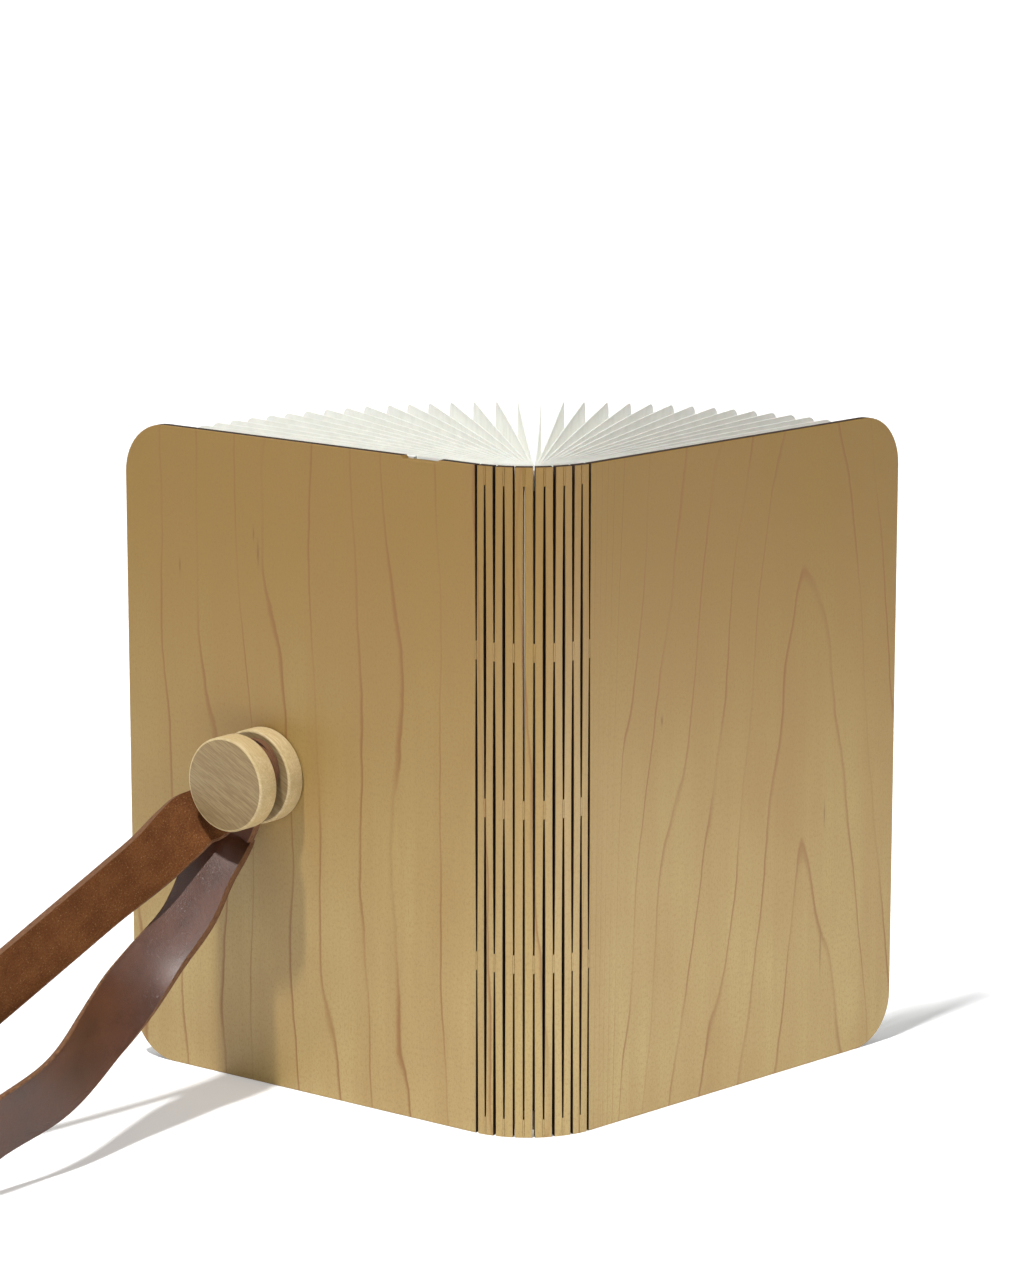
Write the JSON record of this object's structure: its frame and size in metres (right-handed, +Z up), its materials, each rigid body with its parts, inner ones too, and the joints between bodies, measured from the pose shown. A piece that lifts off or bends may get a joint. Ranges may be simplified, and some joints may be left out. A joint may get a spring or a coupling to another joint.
{
  "type": "folding book lamp",
  "caption": "Book-shaped table lamp: wooden covers fold on a slit spine and fan out a lantern of white pleated pages, with a leather strap looped from a round magnetic peg.",
  "frame": {"origin": "middle of the lower end of spine_strip_07, the middle strip of the spine, on the table", "axes": "+Z up along the spine, +X along the spine from the left cover to the right one, +Y from the spine towards the pages' fore-edges"},
  "size_m": [0.3589, 0.2185, 0.2159],
  "materials": {
    "maple": "satin oiled, upright grain",
    "maple_peg": "sanded, unfinished",
    "page_sheet": "matt, slightly fibrous",
    "liner": "matt",
    "diffuser": "matt, milky",
    "leather": "oiled, grain outside and suede inside",
    "steel": "plain",
    "brass": "turned",
    "battery_foil": "soft foil pouch",
    "board": "solder mask over laminate"
  },
  "bodies": {
    "strip_07": {"spine_strip_07": "maple", "led_flex": "board", "spine_diffuser": "diffuser", "page_section_09": "page_sheet"},
    "left_cover": {"cover_left": "maple", "liner_left": "liner", "endpaper_left": "page_sheet", "battery_cell": "battery_foil", "driver_board": "board", "charge_socket": "steel", "keeper_plate": "steel", "closing_magnet_left_low": "steel", "closing_magnet_left_high": "steel", "page_section_01": "page_sheet"},
    "strip_01": {"spine_strip_01": "maple", "page_section_02": "page_sheet"},
    "strip_02": {"spine_strip_02": "maple", "page_section_03": "page_sheet"},
    "strip_03": {"spine_strip_03": "maple", "page_section_04": "page_sheet"},
    "strip_04": {"spine_strip_04": "maple", "page_section_05": "page_sheet", "page_section_06": "page_sheet"},
    "strip_05": {"spine_strip_05": "maple", "page_section_07": "page_sheet"},
    "strip_06": {"spine_strip_06": "maple", "page_section_08": "page_sheet"},
    "strip_08": {"spine_strip_08": "maple", "page_section_10": "page_sheet"},
    "strip_09": {"spine_strip_09": "maple", "page_section_11": "page_sheet", "page_section_12": "page_sheet"},
    "strip_10": {"spine_strip_10": "maple", "page_section_13": "page_sheet"},
    "strip_11": {"spine_strip_11": "maple", "page_section_14": "page_sheet"},
    "strip_12": {"spine_strip_12": "maple", "page_section_15": "page_sheet"},
    "right_cover": {"cover_right": "maple", "liner_right": "liner", "endpaper_right": "page_sheet", "sensor_magnet": "steel", "closing_magnet_right_low": "steel", "closing_magnet_right_high": "steel", "page_section_16": "page_sheet"},
    "peg": {"peg_rear_disc": "maple_peg", "peg_front_disc": "maple_peg", "peg_magnet": "steel", "peg_axle": "brass"},
    "strap": {"leather_strap": "leather"}
  },
  "joints": [
    {"name": "spine_fold_08", "type": "hinge", "parent": "strip_07", "child": "strip_08", "pos_m": [0.00152, 0.00008, 0], "axis": [0, 0, -1], "range_deg": [-7.54, 19.85], "deforming": ["page_section_01", "page_section_02", "page_section_03", "page_section_04", "page_section_05", "page_section_06", "page_section_07", "page_section_08", "page_section_09", "page_section_10", "page_section_11", "page_section_12", "page_section_13", "page_section_14", "page_section_15", "page_section_16", "led_flex", "spine_diffuser", "leather_strap"]},
    {"name": "spine_fold_01", "type": "hinge", "parent": "strip_01", "child": "left_cover", "pos_m": [-0.01844, 0.00572, 0], "axis": [0, 0, 1], "range_deg": [-7.54, 19.85]},
    {"name": "spine_fold_02", "type": "hinge", "parent": "strip_02", "child": "strip_01", "pos_m": [-0.01594, 0.00399, 0], "axis": [0, 0, 1], "range_deg": [-7.54, 19.85]},
    {"name": "spine_fold_03", "type": "hinge", "parent": "strip_03", "child": "strip_02", "pos_m": [-0.01327, 0.00255, 0], "axis": [0, 0, 1], "range_deg": [-7.54, 19.85]},
    {"name": "spine_fold_04", "type": "hinge", "parent": "strip_04", "child": "strip_03", "pos_m": [-0.01046, 0.00141, 0], "axis": [0, 0, 1], "range_deg": [-7.54, 19.85]},
    {"name": "spine_fold_05", "type": "hinge", "parent": "strip_05", "child": "strip_04", "pos_m": [-0.00754, 0.00058, 0], "axis": [0, 0, 1], "range_deg": [-7.54, 19.85]},
    {"name": "spine_fold_06", "type": "hinge", "parent": "strip_06", "child": "strip_05", "pos_m": [-0.00455, 0.00008, 0], "axis": [0, 0, 1], "range_deg": [-7.54, 19.85]},
    {"name": "spine_fold_07", "type": "hinge", "parent": "strip_07", "child": "strip_06", "pos_m": [-0.00152, -0.00008, 0], "axis": [0, 0, 1], "range_deg": [-7.54, 19.85]},
    {"name": "spine_fold_09", "type": "hinge", "parent": "strip_08", "child": "strip_09", "pos_m": [0.00451, 0.00058, 0], "axis": [0, 0, -1], "range_deg": [-7.54, 19.85]},
    {"name": "spine_fold_10", "type": "hinge", "parent": "strip_09", "child": "strip_10", "pos_m": [0.00743, 0.00141, 0], "axis": [0, 0, -1], "range_deg": [-7.54, 19.85]},
    {"name": "spine_fold_11", "type": "hinge", "parent": "strip_10", "child": "strip_11", "pos_m": [0.01024, 0.00255, 0], "axis": [0, 0, -1], "range_deg": [-7.54, 19.85]},
    {"name": "spine_fold_12", "type": "hinge", "parent": "strip_11", "child": "strip_12", "pos_m": [0.01291, 0.00399, 0], "axis": [0, 0, -1], "range_deg": [-7.54, 19.85]},
    {"name": "spine_fold_13", "type": "hinge", "parent": "strip_12", "child": "right_cover", "pos_m": [0.01541, 0.00572, 0], "axis": [0, 0, -1], "range_deg": [-7.54, 19.85]},
    {"name": "peg_spin", "type": "hinge", "parent": "left_cover", "child": "peg", "pos_m": [-0.08334, 0.06214, 0.1055], "axis": [-0.6561, -0.7547, 0], "continuous": true},
    {"name": "strap_swing", "type": "hinge", "parent": "left_cover", "child": "strap", "pos_m": [-0.08334, 0.06214, 0.1055], "axis": [0.6561, 0.7547, 0], "range_deg": [0, 130]}
  ],
  "couplings": [
    {"joint": "spine_fold_01", "follows": "spine_fold_08", "ratio": 1},
    {"joint": "spine_fold_02", "follows": "spine_fold_08", "ratio": 1},
    {"joint": "spine_fold_03", "follows": "spine_fold_08", "ratio": 1},
    {"joint": "spine_fold_04", "follows": "spine_fold_08", "ratio": 1},
    {"joint": "spine_fold_05", "follows": "spine_fold_08", "ratio": 1},
    {"joint": "spine_fold_06", "follows": "spine_fold_08", "ratio": 1},
    {"joint": "spine_fold_07", "follows": "spine_fold_08", "ratio": 1},
    {"joint": "spine_fold_09", "follows": "spine_fold_08", "ratio": 1},
    {"joint": "spine_fold_10", "follows": "spine_fold_08", "ratio": 1},
    {"joint": "spine_fold_11", "follows": "spine_fold_08", "ratio": 1},
    {"joint": "spine_fold_12", "follows": "spine_fold_08", "ratio": 1},
    {"joint": "spine_fold_13", "follows": "spine_fold_08", "ratio": 1}
  ]
}
